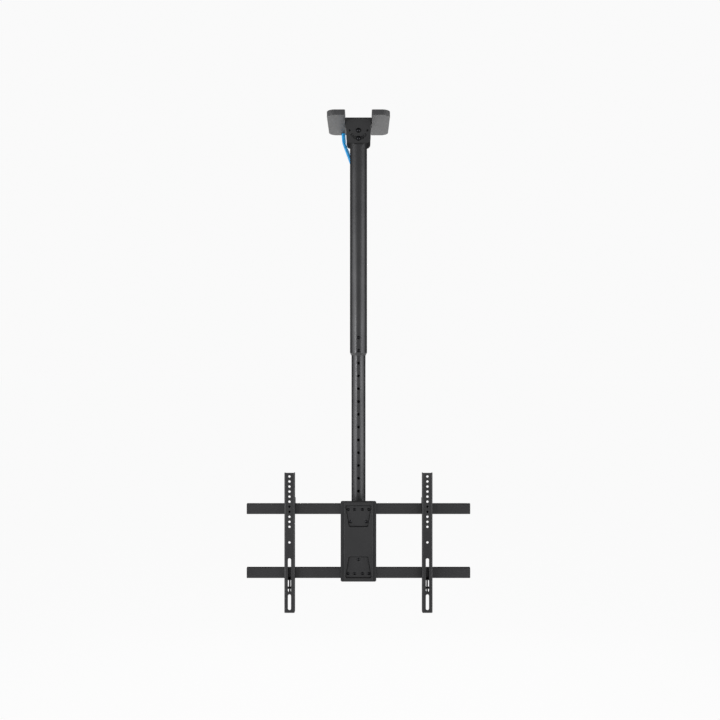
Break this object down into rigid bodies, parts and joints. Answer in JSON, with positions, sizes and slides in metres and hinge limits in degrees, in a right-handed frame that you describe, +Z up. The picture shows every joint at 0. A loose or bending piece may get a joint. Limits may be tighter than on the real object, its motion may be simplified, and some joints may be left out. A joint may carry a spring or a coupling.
{
  "type": "tv ceiling mount",
  "caption": "Telescopic ceiling pole for a flat screen, with a swinging ceiling bracket under covers, a swivelling, tilting head and arms that slide on rails.",
  "frame": {"origin": "on the ceiling's plane, where the pole's axis meets it", "axes": "+Z up along the pole, +X to the right seen from the screen side, the screen faces -Y"},
  "size_m": [0.653, 0.2, 1.452],
  "materials": {
    "black_steel": "satin black powder coat",
    "cover_plastic": "fine moulded texture",
    "black_nylon": "smooth nylon",
    "black_fastener": "black zinc plating",
    "bare_steel": "turned steel",
    "blue_cable": "smooth cable jacket"
  },
  "bodies": {
    "ceiling": {"ceiling_plate": "black_steel", "cover_left": "cover_plastic", "cover_right": "cover_plastic", "pivot_bolt": "black_fastener", "pivot_nut": "black_fastener", "pivot_washers": "black_fastener"},
    "pole": {"outer_tube": "black_steel", "saddle_front": "black_steel", "saddle_rear": "black_steel", "lock_bolt": "black_fastener", "lock_nut": "black_fastener", "lock_washers": "black_fastener", "end_collar": "black_nylon", "height_bolts": "black_fastener", "height_nuts": "black_fastener", "height_washers": "black_fastener", "cable_lead": "blue_cable", "cable_run": "blue_cable"},
    "mast": {"inner_tube": "black_steel", "guide_bush": "black_nylon", "swivel_plug": "bare_steel", "swivel_bolt": "black_fastener", "swivel_steel_washer": "black_fastener"},
    "yoke": {"yoke": "black_steel", "swivel_washers": "black_nylon", "tilt_pivot_bolts": "black_fastener", "tilt_pivot_nuts": "black_fastener", "tilt_lock_bolts": "black_fastener", "tilt_lock_nuts": "black_fastener", "tilt_washers": "black_fastener"},
    "head": {"tilt_bracket": "black_steel", "tilt_plate": "black_steel", "upper_clamp": "black_steel", "lower_clamp": "black_steel", "upper_rail": "black_steel", "lower_rail": "black_steel", "rail_bolts": "black_fastener", "rail_nuts": "black_fastener", "clamp_screws": "black_fastener"},
    "arm_left": {"arm_left": "black_steel", "lock_bridge_left": "black_steel", "lock_latch_left": "black_steel", "lock_screw_left": "black_fastener"},
    "arm_right": {"arm_right": "black_steel", "lock_bridge_right": "black_steel", "lock_latch_right": "black_steel", "lock_screw_right": "black_fastener"}
  },
  "joints": [
    {"name": "pole_swing", "type": "hinge", "parent": "ceiling", "child": "pole", "pos_m": [0, 0, -0.04], "axis": [0, 1, 0], "range_deg": [-55, 55], "deforming": ["cable_lead"]},
    {"name": "height_slide", "type": "slide", "parent": "pole", "child": "mast", "axis": [0, 0, 1], "range_m": [0, 0.456], "deforming": ["cable_run"]},
    {"name": "screen_swivel", "type": "hinge", "parent": "mast", "child": "yoke", "pos_m": [0, 0, -1.24], "axis": [0, 0, 1], "continuous": true},
    {"name": "screen_tilt", "type": "hinge", "parent": "yoke", "child": "head", "pos_m": [0, -0.028, -1.193], "axis": [1, 0, 0], "range_deg": [-5, 20]},
    {"name": "arm_left_slide", "type": "slide", "parent": "head", "child": "arm_left", "axis": [1, 0, 0], "range_m": [-0.1, 0.1]},
    {"name": "arm_right_slide", "type": "slide", "parent": "head", "child": "arm_right", "axis": [1, 0, 0], "range_m": [-0.1, 0.1]}
  ]
}
